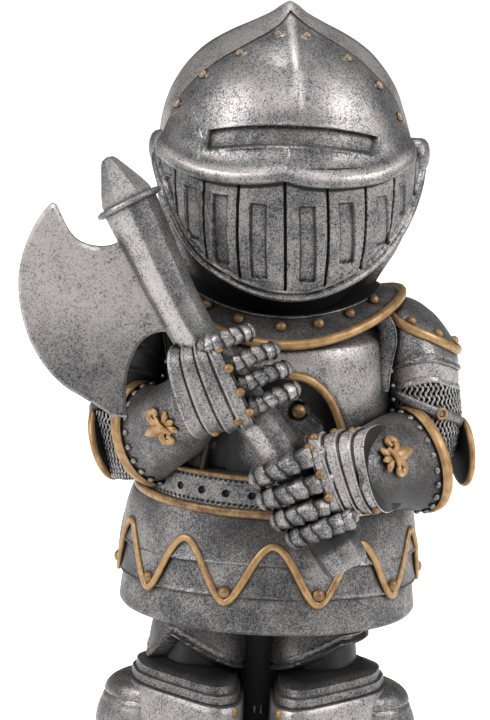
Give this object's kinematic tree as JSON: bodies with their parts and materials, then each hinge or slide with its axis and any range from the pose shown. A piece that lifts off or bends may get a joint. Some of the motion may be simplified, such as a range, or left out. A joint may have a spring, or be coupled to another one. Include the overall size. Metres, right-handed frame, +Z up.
{
  "type": "knight statue",
  "caption": "Squat cast-resin knight in full plate with a closed, barred helmet, holding a battle axe across the chest on a low round plinth.",
  "frame": {"origin": "middle of the plinth's flat underside", "axes": "+Z up through the helmet's point, -Y the way the knight faces, +X towards the hand that is lower on the shaft"},
  "size_m": [0.0996, 0.0924, 0.181],
  "materials": {
    "silver_paint": "metallic silver paint stippled and dry-brushed over black on a resin casting, near black in the recesses",
    "gold_paint": "satin gold paint brushed on the raised trims and rivets",
    "plinth_paint": "darker dry-brushed silver over black on the plinth"
  },
  "bodies": {
    "root": {"knight": "silver_paint", "plinth": "plinth_paint"}
  },
  "joints": []
}
